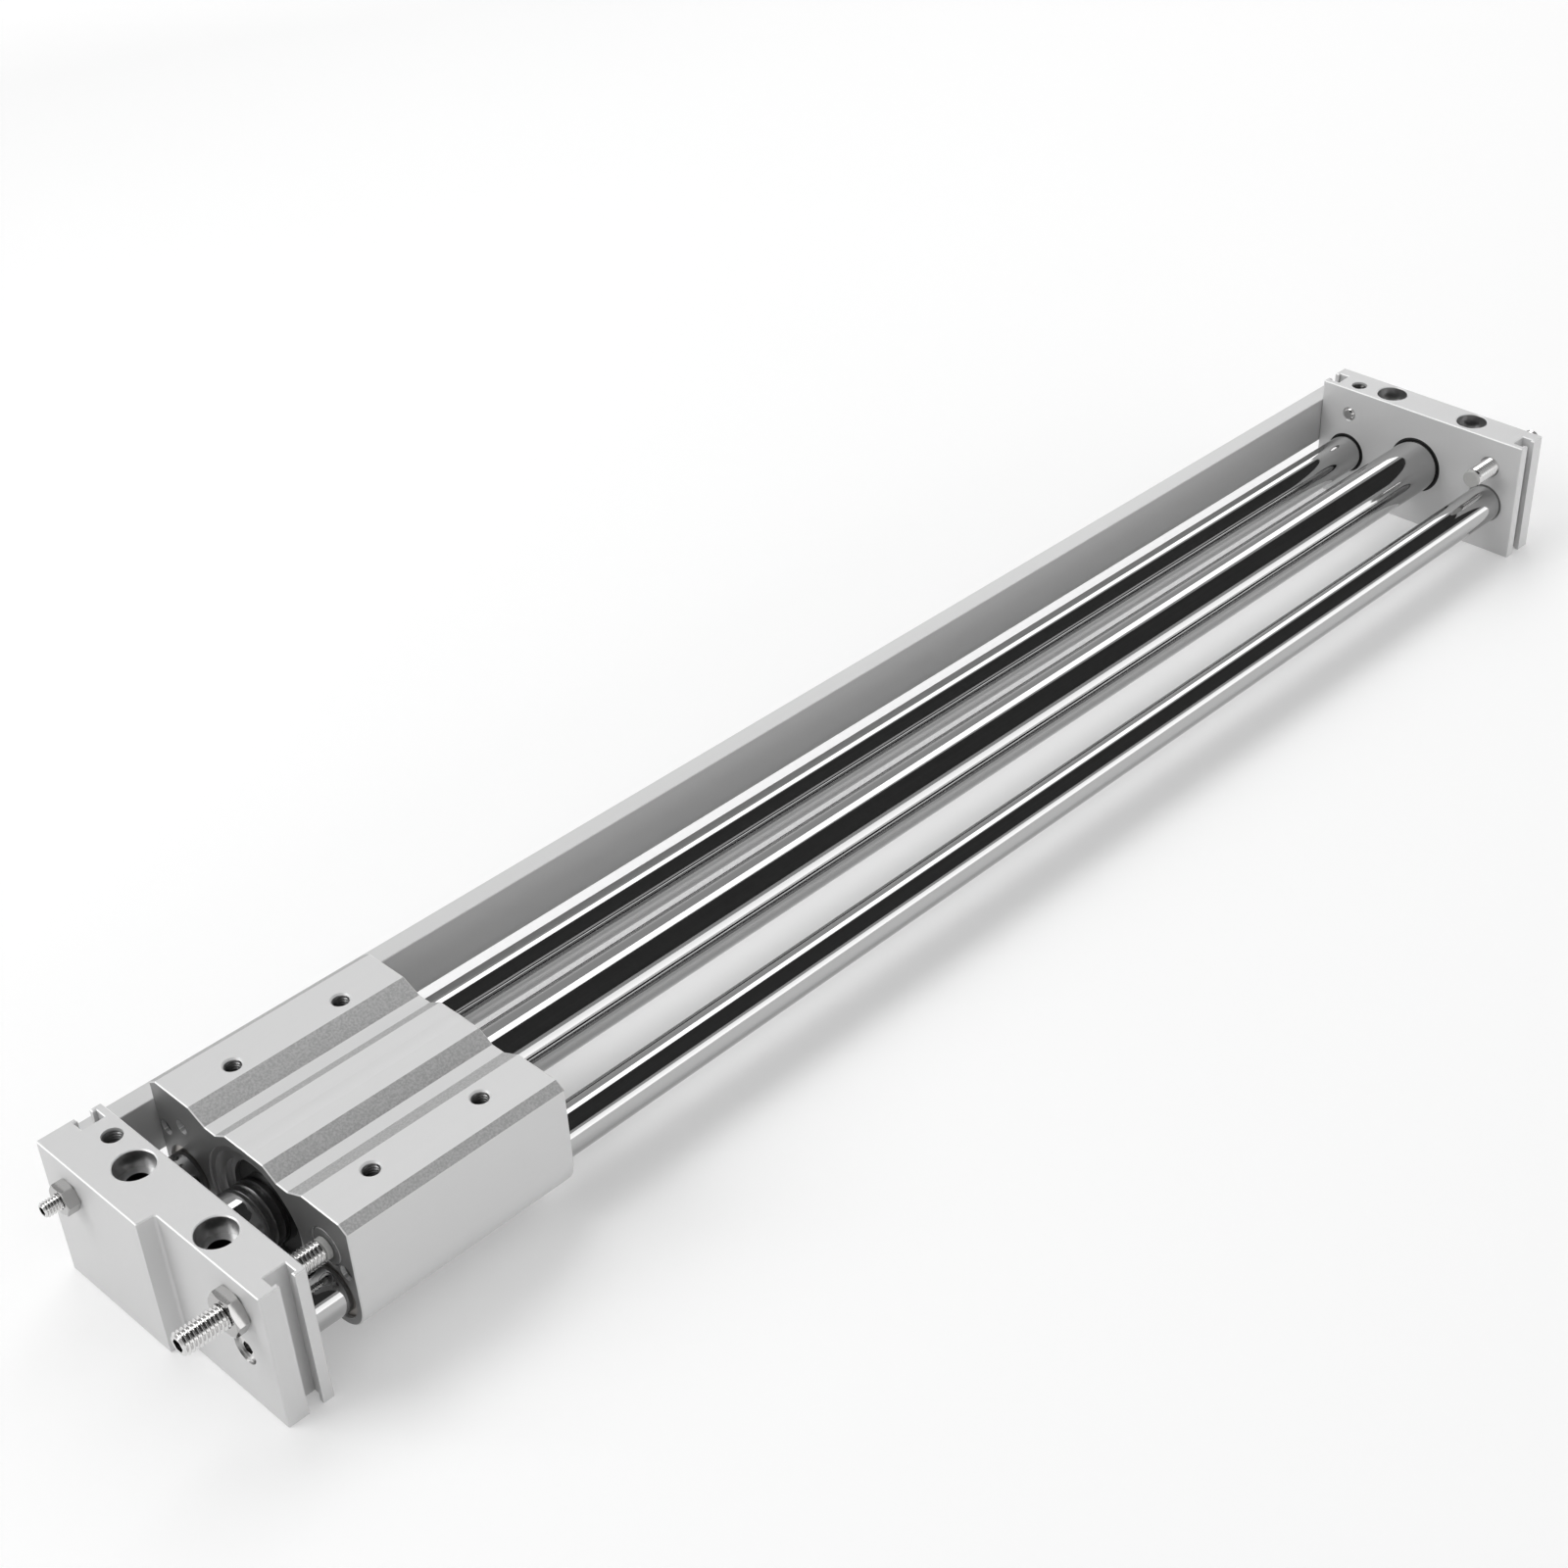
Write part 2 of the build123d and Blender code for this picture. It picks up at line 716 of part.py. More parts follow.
pitch = magnet_width + yoke_width
stack_start = block_x - stack_half
yoke_places = [stack_start + index * pitch for index in range(magnet_count + 1)]
magnet_places = [stack_start + yoke_width + index * pitch for index in range(magnet_count)]
stack_radius = sleeve_bore - seat_fit
save(ring_set(yoke_places, stack_radius, outer_yoke_bore, yoke_width), "outer_yokes")
save(ring_set(magnet_places, stack_radius, outer_magnet_bore, magnet_width), "outer_magnets")

slide_bore = tube_radius + running_fit
wear_places = mirrored(wear_ring_place, wear_ring_width, block_x)
save(ring_set(wear_places, stack_radius, slide_bore, wear_ring_width), "wear_rings")
scraper_places = mirrored(scraper_place, scraper_width, block_x)
save(ring_set(scraper_places, stack_radius, slide_bore, scraper_width), "scrapers")

inner_snap_places = mirrored(inner_snap_place, snap_ring_width, block_x)
inner_snap_outer = sleeve_bore + snap_ring_groove - seat_fit
inner_snap_rings = ring_set(
    inner_snap_places, inner_snap_outer, inner_snap_outer - snap_ring_land, snap_ring_width
)
save(inner_snap_rings, "magnet_snap_rings")

outer_snap_places = mirrored(sleeve_half, snap_ring_width, block_x)
outer_snap_outer = sleeve_radius + snap_ring_groove - seat_fit
outer_snap_rings = ring_set(
    outer_snap_places, outer_snap_outer, outer_snap_outer - snap_ring_land, snap_ring_width
)
save(outer_snap_rings, "sleeve_snap_rings")


# Piston in the tube, held to the slider by its magnets
shaft_hole = shaft_radius + seat_fit
with BuildPart() as piston_shaft:
    with BuildSketch(across(block_x - shaft_half)):
        with Locations((0, tube_z)):
            Circle(shaft_radius)
    extrude(amount=2 * shaft_half)
    chamfer(piston_shaft.edges().filter_by(GeomType.CIRCLE), screw_chamfer)
save(piston_shaft, "piston_shaft")

save(ring_set(yoke_places, inner_yoke_radius, shaft_hole, yoke_width), "inner_yokes")
save(ring_set(magnet_places, inner_magnet_radius, shaft_hole, magnet_width), "inner_magnets")

with BuildPart() as pistons:
    for side in ends:
        x_root = block_x + side * stack_half
        with BuildSketch(across(x_root)):
            with Locations((0, tube_z)):
                Circle(piston_radius)
        extrude(amount=side * piston_length)
        grooves = (
            (piston_ring_place, piston_ring_width, piston_ring_depth),
            (piston_seal_place, piston_seal_width, piston_seal_depth),
        )
        for place, width, depth in grooves:
            with BuildSketch(across(x_root + side * place)):
                with Locations((0, tube_z)):
                    Circle(piston_radius + piston_ring_depth)
                    Circle(piston_radius - depth, mode=Mode.SUBTRACT)
            extrude(amount=side * width, mode=Mode.SUBTRACT)
        drill(shaft_hole, x_root, 0, tube_z, piston_length, side)
save(pistons, "pistons")

in_bore = bore / 2 - running_fit
ring_places = mirrored(stack_half + piston_ring_place, piston_ring_width, block_x)
piston_ring_bore = piston_radius - piston_ring_depth + seat_fit
piston_wear_rings = ring_set(ring_places, in_bore, piston_ring_bore, piston_ring_width)
save(piston_wear_rings, "piston_wear_rings")
seal_places = mirrored(stack_half + piston_seal_place, piston_seal_width, block_x)
seal_bore = piston_radius - piston_seal_depth + seat_fit
save(ring_set(seal_places, in_bore, seal_bore, piston_seal_width), "piston_seals")

piston_end = stack_half + piston_length
with BuildPart() as piston_nuts:
    for side in ends:
        x_nut = block_x + side * piston_end
        add(hexagon_nut(x_nut, 0, tube_z, side, piston_nut_flats, piston_nut_height, shaft_hole))
save(piston_nuts, "piston_nuts")

bumper_places = mirrored(piston_end + piston_nut_height, piston_bumper_width, block_x)
piston_bumpers = ring_set(bumper_places, piston_bumper_radius, shaft_hole, piston_bumper_width)
save(piston_bumpers, "piston_bumpers")

print("Travel as the bolts are set:", inner_gap - block_length - 2 * set_reach)
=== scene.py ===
import math

import bmesh
import bpy
from mathutils import Matrix, Vector


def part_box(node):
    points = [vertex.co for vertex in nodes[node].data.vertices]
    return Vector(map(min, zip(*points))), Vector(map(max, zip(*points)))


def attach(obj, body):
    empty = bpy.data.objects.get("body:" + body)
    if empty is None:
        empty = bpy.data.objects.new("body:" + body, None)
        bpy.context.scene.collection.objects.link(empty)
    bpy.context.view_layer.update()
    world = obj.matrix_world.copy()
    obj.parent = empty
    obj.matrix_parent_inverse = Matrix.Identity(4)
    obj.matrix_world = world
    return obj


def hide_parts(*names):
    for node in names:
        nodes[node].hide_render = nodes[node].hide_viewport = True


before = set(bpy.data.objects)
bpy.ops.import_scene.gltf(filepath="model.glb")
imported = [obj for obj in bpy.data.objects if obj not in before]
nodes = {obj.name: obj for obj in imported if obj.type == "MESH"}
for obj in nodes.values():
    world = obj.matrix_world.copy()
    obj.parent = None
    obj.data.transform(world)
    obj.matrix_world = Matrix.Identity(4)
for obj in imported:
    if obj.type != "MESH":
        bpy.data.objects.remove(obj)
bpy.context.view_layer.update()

MM = 0.001
NEAR, FAR = -1, 1
ENDS = ((NEAR, "near"), (FAR, "far"))

# Camera: the photograph's angle, worked out from the edges of the object
IMAGE_SIZE = 1600
CAMERA_PLACE = (-0.41083, -0.37163, 0.40926)
CAMERA_AZIMUTH = -46.566
CAMERA_ELEVATION = 36.712
CAMERA_ROLL = -1.306
FOCAL_PIXELS = 2541.1
CENTRE_PIXEL = (909.35, 865.93)
SENSOR = 36.0
CLIP_START = 0.01


def build_camera():
    """Place the camera, looking along its azimuth and elevation."""
    azimuth = math.radians(CAMERA_AZIMUTH)
    elevation = math.radians(CAMERA_ELEVATION)
    back = Vector((
        math.sin(azimuth) * math.cos(elevation),
        -math.cos(azimuth) * math.cos(elevation),
        math.sin(elevation),
    ))
    right = Vector((0, 0, 1)).cross(back).normalized()
    up = back.cross(right)
    level = Matrix((right, up, back)).transposed().to_4x4()
    roll = Matrix.Rotation(math.radians(CAMERA_ROLL), 4, "Z")
    data = bpy.data.cameras.new("photo_camera")
    data.sensor_width = SENSOR
    data.lens = FOCAL_PIXELS / IMAGE_SIZE * SENSOR
    data.shift_x = (IMAGE_SIZE / 2 - CENTRE_PIXEL[0]) / IMAGE_SIZE
    data.shift_y = (CENTRE_PIXEL[1] - IMAGE_SIZE / 2) / IMAGE_SIZE
    data.clip_start = CLIP_START
    camera = bpy.data.objects.new("photo_camera", data)
    camera.matrix_world = Matrix.Translation(CAMERA_PLACE) @ level @ roll
    bpy.context.collection.objects.link(camera)
    bpy.context.scene.camera = camera


class Nodes:
    """Short calls that build one material's node tree."""

    def __init__(self, name):
        self.material = bpy.data.materials.new(name)
        self.material.use_nodes = True
        self.tree = self.material.node_tree
        self.shader = self.tree.nodes["Principled BSDF"]

    def add(self, kind, **inputs):
        """Add a node, set its inputs by name, and link those that are sockets."""
        node = self.tree.nodes.new(kind)
        for key, value in inputs.items():
            self.put(node, key.replace("_", " "), value)
        return node

    def put(self, node, socket, value):
        """Set one input, by name or number, to a number, a colour or another node's output."""
        if isinstance(value, bpy.types.NodeSocket):
            self.tree.links.new(value, node.inputs[socket])
        else:
            node.inputs[socket].default_value = value

    def place(self, stretch=(1, 1, 1)):
        """Return the object's own coordinates, scaled along each axis."""
        where = self.add("ShaderNodeTexCoord").outputs["Object"]
        mapping = self.add("ShaderNodeMapping", Vector=where, Scale=stretch)
        return mapping.outputs["Vector"]

    def noise(self, scale, stretch=(1, 1, 1), detail=3.0, roughness=0.55):
        """Return a noise between 0 and 1 on the object's own coordinates."""
        node = self.add("ShaderNodeTexNoise", Vector=self.place(stretch), Scale=scale,
                        Detail=detail, Roughness=roughness)
        return node.outputs["Fac"]

    def spread(self, value, low, high, low_out, high_out):
        """Map value from one range to another, clamped."""
        node = self.add("ShaderNodeMapRange", Value=value)
        for index, number in enumerate((low, high, low_out, high_out)):
            node.inputs[index + 1].default_value = number
        return node.outputs["Result"]

    def between(self, value, start, full, fade, end):
        """Return 1 where value lies between full and fade, and 0 outside start and end."""
        rise = self.spread(value, start, full, 0.0, 1.0)
        return self.calculate("MULTIPLY", rise, self.spread(value, fade, end, 1.0, 0.0))

    def calculate(self, operation, first, second):
        """Return the result of one sum on two values."""
        node = self.tree.nodes.new("ShaderNodeMath")
        node.operation = operation
        self.put(node, 0, first)
        self.put(node, 1, second)
        return node.outputs[0]

    def round_hole(self, first, second, centre, radius):
        """Return 1 within radius of an axis and 0 just outside, from the coordinates across it."""
        squares = []
        for value, middle in ((first, centre[0]), (second, centre[1])):
            offset = self.calculate("SUBTRACT", value, middle)
            squares.append(self.calculate("MULTIPLY", offset, offset))
        square = self.calculate("ADD", *squares)
        return self.spread(square, radius ** 2, (radius * HOLE_FADE) ** 2, 1.0, 0.0)

    def mix(self, factor, first, second):
        """Mix two colours by a factor."""
        node = self.tree.nodes.new("ShaderNodeMix")
        node.data_type = "RGBA"
        for index, value in ((0, factor), (6, first), (7, second)):
            self.put(node, index, value)
        return node.outputs[2]

    def shade(self, factor, level, below, above, warmth=0.0):
        """Mix a darker and a lighter grey, below and above a level."""
        return self.mix(factor, grey(level - below, warmth), grey(level + above, warmth))

    def bump(self, height, distance):
        """Let a height field stand out of the surface."""
        node = self.add("ShaderNodeBump", Height=height, Distance=distance, Strength=1.0)
        self.put(self.shader, "Normal", node.outputs["Normal"])


def grey(level, warmth=0.0):
    """Return a grey, warmer where warmth is above zero."""
    return (level + warmth, level, level - warmth, 1.0)


def metal(name, level, rough, warmth=0.0, grain=0.03, scale=1500.0, stretch=(1, 1, 1), depth=4e-6):
    """A metal with a fine grain in its colour, gloss and surface."""
    make = Nodes(name)
    make.put(make.shader, "Metallic", 1.0)
    fine = make.noise(scale, stretch)
    broad = make.noise(35.0, detail=2.0)
    tone = make.shade(fine, level, grain, grain, warmth)
    cloud = make.shade(broad, level, grain / 2, grain / 2, warmth)
    make.put(make.shader, "Base Color", make.mix(0.5, tone, cloud))
    make.put(make.shader, "Roughness", make.spread(fine, 0.3, 0.7, rough * 0.9, rough * 1.1))
    if depth > 0:
        make.bump(fine, depth)
    return make.material


# Finishes of the aluminium pieces, with their painted highlight and painted shade: how metallic, light,
# rough and grainy they are
SATIN_METAL = 0.4
# The chamfers' light colour is a painted highlight
CHAMFER_HIGHLIGHT_LEVEL = 0.92
CHAMFER_GLOSS = 0.7
# The block's end faces are bare metal, with a dark colour that is painted shade of the gap to the end
# plates
CUT_END_SHADE_LEVEL = 0.34
BORED_LEVEL = 0.64
# The deep part of the mounting holes is painted dark as shade
DEEP_SHADE_LEVEL = 0.20
BORED_ROUGH = 0.30
TURNED_GRAIN = 0.03
SLOPE_ROUGHER = 0.12
DRAWN_SHARE = 0.4
SATIN_BUMP = 1.2e-5

# How far a surface faces up, where its finish starts, is full, fades and ends
SLOPE_FACING = (0.76, 0.82, 0.93, 0.97)
# Chamfers are the faces that get the painted highlight
CHAMFER_FACING = (0.64, 0.69, 0.73, 0.76)
# The square of how far a surface faces along the part, where the end faces' machined look and painted
# shade start and are full
END_FACING = (0.90, 0.96)

# Holes of the end plates, the same at both ends: their middle, as the two coordinates across the
# hole's axis, and a radius just outside their walls. The finish fades out from there, up to
# HOLE_FADE times that radius
HOLE_FADE = 1.015
MOUNT_CENTRE = (240.65 * MM, 15.0 * MM)
MOUNT_HEAD_RADIUS = 4.78 * MM
# Within this radius the mounting holes go deep, and are painted dark as shade
MOUNT_RADIUS = 2.80 * MM
RECESS_CENTRE = (-26.5 * MM, 16.3 * MM)
RECESS_RADIUS = 3.73 * MM


def bored_masks(make):
    """Return masks of the plates' bored walls, and of the deep holes among them, which are painted dark as
    shade.
    """
    place = make.add("ShaderNodeSeparateXYZ", Vector=make.place()).outputs
    across = make.calculate("ABSOLUTE", place["X"], 0.0)
    aside = make.calculate("ABSOLUTE", place["Y"], 0.0)
    head = make.round_hole(across, aside, MOUNT_CENTRE, MOUNT_HEAD_RADIUS)
    recess = make.round_hole(place["Y"], place["Z"], RECESS_CENTRE, RECESS_RADIUS)
    deep = make.round_hole(across, aside, MOUNT_CENTRE, MOUNT_RADIUS)
    return make.calculate("MAXIMUM", head, recess), deep


def anodised(name, level, rough, slope_level, streak_stretch, shaded_cut_ends=False, bored=False):
    """Satin anodised aluminium: even faces, grainy slopes, chamfers painted light as a highlight, end
    faces of bare machined metal painted darker as shade, and painted shade deep in the mounting holes.
    """
    make = Nodes(name)
    make.put(make.shader, "Metallic", SATIN_METAL)
    normal = make.add("ShaderNodeTexCoord").outputs["Normal"]
    facing = make.add("ShaderNodeSeparateXYZ", Vector=normal).outputs
    slope = make.between(facing["Z"], *SLOPE_FACING)
    chamfer = make.between(facing["Z"], *CHAMFER_FACING)
    fine = make.noise(2600.0, detail=4.0)
    streak = make.noise(420.0, streak_stretch, detail=3.0)
    grain = make.spread(make.noise(1900.0, detail=2.0), 0.38, 0.62, 0.0, 1.0)
    machined = make.shade(fine, level, 0.012, 0.012)
    drawn = make.shade(streak, level, 0.02, 0.015)
    raw = make.shade(grain, slope_level, 0.06, 0.05)
    # Chamfers take a light colour that paints a highlight along the edges
    face = make.mix(chamfer, make.mix(DRAWN_SHARE, machined, drawn), grey(CHAMFER_HIGHLIGHT_LEVEL))
    face = make.mix(slope, face, raw)
    dull = make.spread(slope, 0.0, 1.0, rough, rough + SLOPE_ROUGHER)
    dull = make.calculate("MULTIPLY", dull, make.spread(chamfer, 0.0, 1.0, 1.0, CHAMFER_GLOSS))
    # End faces: bare machined metal, painted dark as the shade of the gap to the end plates
    if shaded_cut_ends:
        along = make.calculate("MULTIPLY", facing["X"], facing["X"])
        end = make.spread(along, *END_FACING, 0.0, 1.0)
        face = make.mix(end, face, make.shade(fine, CUT_END_SHADE_LEVEL, TURNED_GRAIN, TURNED_GRAIN))
        make.put(make.shader, "Metallic", make.spread(end, 0.0, 1.0, SATIN_METAL, 1.0))
    # Bored walls get a turned finish, and the deep part of the mounting holes gets painted shade
    if bored:
        wall, deep = bored_masks(make)
        turned = make.shade(fine, BORED_LEVEL, TURNED_GRAIN, TURNED_GRAIN)
        face = make.mix(wall, face, make.mix(deep, turned, grey(DEEP_SHADE_LEVEL)))
        make.put(make.shader, "Metallic", make.spread(wall, 0.0, 1.0, SATIN_METAL, 1.0))
        smooth = make.calculate("SUBTRACT", dull, BORED_ROUGH)
        smooth = make.calculate("MULTIPLY", smooth, make.spread(wall, 0.0, 1.0, 1.0, 0.0))
        dull = make.calculate("ADD", smooth, BORED_ROUGH)
    make.put(make.shader, "Base Color", face)
    make.put(make.shader, "Roughness", dull)
    height = make.calculate("MULTIPLY", fine, make.spread(slope, 0.0, 1.0, 0.15, 1.0))
    make.bump(height, SATIN_BUMP)
    return make.material


def soft(name, colour, rough, depth=5e-6):
    """Rubber or plastic with a fine moulded grain."""
    make = Nodes(name)
    grain = make.noise(1800.0, detail=4.0)
    dark = tuple(value * 0.85 for value in colour[:3]) + (1.0,)
    make.put(make.shader, "Base Color", make.mix(grain, dark, colour))
    make.put(make.shader, "Roughness", make.spread(grain, 0.3, 0.7, rough - 0.05, rough + 0.05))
    make.bump(grain, depth)
    return make.material


# Stretch of a grain that runs along the part, and of one that stands upright
ALONG = (0.02, 1, 1)
UPRIGHT = (1, 1, 0.02)


def build_materials():
    """Make every material, by the name that the pieces use."""
    return {
        "block": anodised("block_aluminium", 0.68, 0.55, 0.46, ALONG, shaded_cut_ends=True),
        "plate": anodised("plate_aluminium", 0.68, 0.55, 0.50, UPRIGHT, bored=True),
        "rail": anodised("rail_aluminium", 0.64, 0.50, 0.60, ALONG),
        "rod": metal("rod_chrome", 0.46, 0.05, grain=0.01, scale=900.0, stretch=ALONG, depth=0),
        "tube": metal("tube_stainless", 0.44, 0.06, grain=0.012, scale=700.0, stretch=ALONG, depth=0),
        "nickel": metal("nickel_plate", 0.68, 0.10, 0.004, grain=0.02, scale=900.0, depth=0),
        "nut": metal("nut_steel", 0.44, 0.14, 0.004, grain=0.03, scale=900.0, depth=0),
        # The hole threads are dark grey: painted shade inside the table holes and air ports
        "thread_shade": metal("thread_painted_shade", 0.22, 0.35, grain=0.03, scale=900.0, depth=0),
        "steel": metal("plain_steel", 0.50, 0.35, grain=0.05, scale=900.0),
        "magnet": metal("magnet_alloy", 0.16, 0.55, grain=0.03, scale=900.0),
        "bronze": metal("bush_bronze", 0.36, 0.40, 0.02, grain=0.04, scale=1200.0),
        "gasket": soft("black_rubber", (0.02, 0.02, 0.02, 1.0), 0.55),
        "urethane": soft("pale_urethane", (0.44, 0.44, 0.43, 1.0), 0.35),
        "plastic": soft("wear_plastic", (0.07, 0.07, 0.07, 1.0), 0.45),
    }


LOOKS = {
    "plate": ("end_plate_near", "end_plate_far"),
    "block": ("slide_block", "pistons"),
    "rail": ("switch_rail",),
    "rod": ("guide_rod_left", "guide_rod_right"),
    "tube": ("cylinder_tube",),
    "nickel": (
        "rail_screws", "rail_nuts", "rod_screws", "rod_set_screws", "piston_nuts", "stop_bolt_near",
        "stop_bolt_far", "stop_screw_near", "stop_screw_far",
    ),
    "nut": ("stop_bolt_nuts", "stop_screw_nuts"),
    "steel": (
        "outer_sleeve", "outer_yokes", "sleeve_snap_rings", "magnet_snap_rings", "piston_shaft",
        "inner_yokes",
    ),
    "magnet": ("outer_magnets", "inner_magnets", "switch_magnets"),
    "bronze": ("guide_bushes",),
    "gasket": ("tube_gaskets", "rod_gaskets", "scrapers", "piston_seals"),
    "urethane": ("stop_bumper_near", "stop_bumper_far", "piston_bumpers"),
    "plastic": ("wear_rings", "piston_wear_rings"),
}


def dress_nodes(materials):
    """Give every CAD node its material."""
    for look, names in LOOKS.items():
        for name in names:
            for slot in nodes[name].material_slots:
                slot.material = materials[look]


# Threads: points in one turn, rows in one pitch, and the angle above which an edge stays sharp
THREAD_AROUND = 48
THREAD_ALONG = 10
SHARP_ANGLE = 40.0
# A thread's depth as a share of its pitch, and how fast it rises from its valley, per pitch
THREAD_DEPTH = 0.58
THREAD_RISE = 2.4

# Pitch, socket across its flats, socket depth and end chamfer of the adjusting bolts and screws
BOLT_SIZES = (1.0 * MM, 3.0 * MM, 4.0 * MM, 0.6 * MM)
SCREW_SIZES = (0.7 * MM, 2.0 * MM, 3.0 * MM, 0.5 * MM)

# Linings of the table holes and the air ports: pitch and height of the ridge, half the spacing of
# the table holes, place of the ports, and each lining's outer radius, top and depth
M5_PITCH = 0.8 * MM
LINING_RIDGE = 0.36 * MM
TABLE_HOLE_X = 15.0 * MM
TABLE_HOLE_Y = 25.0 * MM
TABLE_THREAD = 2.09 * MM
TABLE_THREAD_TOP = 39.5 * MM
TABLE_THREAD_DEPTH = 8.5 * MM
PORT_X = 238.6 * MM
PORT_Y = 26.45 * MM
PORT_THREAD = 2.49 * MM
PORT_THREAD_TOP = 38.4 * MM
PORT_THREAD_DEPTH = 5.2 * MM


def rise(travel, pitch, turn):
    """Return a thread's rise, from 0 in its valley to 1, at a travel and a part of a turn."""
    phase = (travel / pitch - turn) % 1.0
    return min(abs(phase - 0.5) * THREAD_RISE, 1.0)


def skin(mesh, first, second):
    """Join two rings of points by faces."""
    for i in range(THREAD_AROUND):
        j = (i + 1) % THREAD_AROUND
        mesh.faces.new((first[i], first[j], second[j], second[i]))


def finish_piece(mesh, name, material):
    """Turn a mesh into a piece with a material, smooth but for its sharp edges."""
    bmesh.ops.recalc_face_normals(mesh, faces=mesh.faces)
    data = bpy.data.meshes.new(name)
    mesh.to_mesh(data)
    mesh.free()
    data.materials.append(material)
    data.shade_smooth()
    data.set_sharp_from_angle(angle=math.radians(SHARP_ANGLE))
    piece = bpy.data.objects.new(name, data)
    bpy.context.collection.objects.link(piece)
    return piece


def threaded_rod(name, node, side, pitch, socket_flats, socket_depth, chamfer, material):
    """Build a threaded rod with a hexagon socket in its outer end, over a plain CAD rod."""
    low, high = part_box(node)
    centre_y = (low[1] + high[1]) / 2
    centre_z = (low[2] + high[2]) / 2
    radius = (high[2] - low[2]) / 2
    thread_depth = THREAD_DEPTH * pitch
    inner, outer = (high[0], low[0]) if side < 0 else (low[0], high[0])
    length = abs(outer - inner)
    rows = int(round(length / pitch * THREAD_ALONG))
    mesh = bmesh.new()

    def point(travel, angle, distance):
        x = inner + side * travel
        return (x, centre_y + distance * math.cos(angle), centre_z + distance * math.sin(angle))

    def ring(travel, distances):
        step = 2 * math.pi / THREAD_AROUND
        return [mesh.verts.new(point(travel, step * i, distances(step * i))) for i in range(THREAD_AROUND)]

    def thread(travel):
        end = min(travel, length - travel)
        limit = radius - max(0.0, chamfer - end)

        def distance(angle):
            valley = 1.0 - rise(travel, pitch, angle / (2 * math.pi))
            return min(radius - thread_depth * valley, limit)
        return distance

    def hexagon(flats):
        def distance(angle):
            sector = math.pi / 3
            return flats / 2 / math.cos((angle % sector) - sector / 2)
        return distance

    rings = [ring(length * row / rows, thread(length * row / rows)) for row in range(rows + 1)]
    for first, second in zip(rings, rings[1:]):
        skin(mesh, first, second)
    mesh.faces.new(rings[0])
    mouth = ring(length, hexagon(socket_flats))
    floor = ring(length - socket_depth, hexagon(socket_flats))
    skin(mesh, rings[-1], mouth)
    skin(mesh, mouth, floor)
    mesh.faces.new(floor)
    return finish_piece(mesh, name, material)


def thread_lining(name, body, place, outer, depth, material):
    """Line a threaded hole that opens upwards with a helical thread."""
    mesh = bmesh.new()
    rows = int(round(depth / M5_PITCH * THREAD_ALONG))
    step = 2 * math.pi / THREAD_AROUND

    def ring(travel):
        loop = []
        for i in range(THREAD_AROUND):
            distance = outer - LINING_RIDGE * rise(travel, M5_PITCH, i / THREAD_AROUND)
            across, along = distance * math.cos(step * i), distance * math.sin(step * i)
            loop.append(mesh.verts.new((place[0] + across, place[1] + along, place[2] - travel)))
        return loop

    rings = [ring(depth * row / rows) for row in range(rows + 1)]
    for first, second in zip(rings, rings[1:]):
        skin(mesh, first, second)
    mesh.faces.new(rings[-1])
    piece = finish_piece(mesh, name, material)
    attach(piece, body)


def build_threads(materials):
    """Put a threaded rod in the place of each adjusting bolt and screw."""
    for side, end in ENDS:
        for kind, sizes in (("bolt", BOLT_SIZES), ("screw", SCREW_SIZES)):
            node = f"stop_{kind}_{end}"
            piece = threaded_rod(f"stop_{kind}_thread_{end}", node, side, *sizes, materials["nickel"])
            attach(piece, f"{end}_{kind}")
            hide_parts(node)


def build_linings(materials):
    """Put a thread in each table hole and in each air port, dark grey as painted shade of the hole."""
    low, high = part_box("slide_block")
    middle = (low[0] + high[0]) / 2
    for number, (side_x, side_y) in enumerate(((NEAR, NEAR), (NEAR, FAR), (FAR, NEAR), (FAR, FAR)), 1):
        place = (middle + side_x * TABLE_HOLE_X, side_y * TABLE_HOLE_Y, TABLE_THREAD_TOP)
        thread_lining(f"table_thread_{number}", "slider", place, TABLE_THREAD, TABLE_THREAD_DEPTH,
                      materials["thread_shade"])
    for side, end in ENDS:
        place = (side * PORT_X, PORT_Y, PORT_THREAD_TOP)
        thread_lining(f"port_thread_{end}", "frame", place, PORT_THREAD, PORT_THREAD_DEPTH,
                      materials["thread_shade"])


# Floor: its side, how white it is, its glow near the origin and far off, and the two distances
# from the origin between which the glow rises
FLOOR_SIZE = 8.0
FLOOR_WHITE = 0.80
FLOOR_GLOW = 0.22
FAR_GLOW = 0.54
GLOW_RISE = (0.75, 1.15)
# Surround: its strength overhead and at the horizon, and how far up, from 0 to 1, it turns even
WORLD_LIGHT = 0.50
HORIZON_LIGHT = 0.92
HORIZON_RISE = 0.25
# Flag: its height and its extent along X and Y
CARD_HEIGHT = 1.0
CARD_X = (-0.9, 2.4)
CARD_Y = (-1.42, 0.25)
# Soft boxes: name, place, point it faces, direction of its width, width and height, power
LEVEL = (1.0, 0.0, 0.0)
SOFT_BOXES = (
    ("strip", (0.75, 0.58, 1.05), (0.75, 0.0, 0.02), (1.45, 0.277, -0.167), (2.0, 0.46), 6.4),
    ("front", (-1.05, 0.60, 0.90), (-0.2, 0.0, 0.02), (0.6, 1.0, 0.0), (0.9, 0.9), 8.0),
    ("fill", (0.81, -1.10, 0.27), (0.81, 0.0, 0.27), LEVEL, (2.4, 0.44), 4.5),
)


def surface(name, corners):
    """A flat staged surface from its four corners."""
    mesh = bpy.data.meshes.new(name)
    mesh.from_pydata(corners, [], [(0, 1, 2, 3)])
    piece = bpy.data.objects.new(name, mesh)
    bpy.context.collection.objects.link(piece)
    return piece


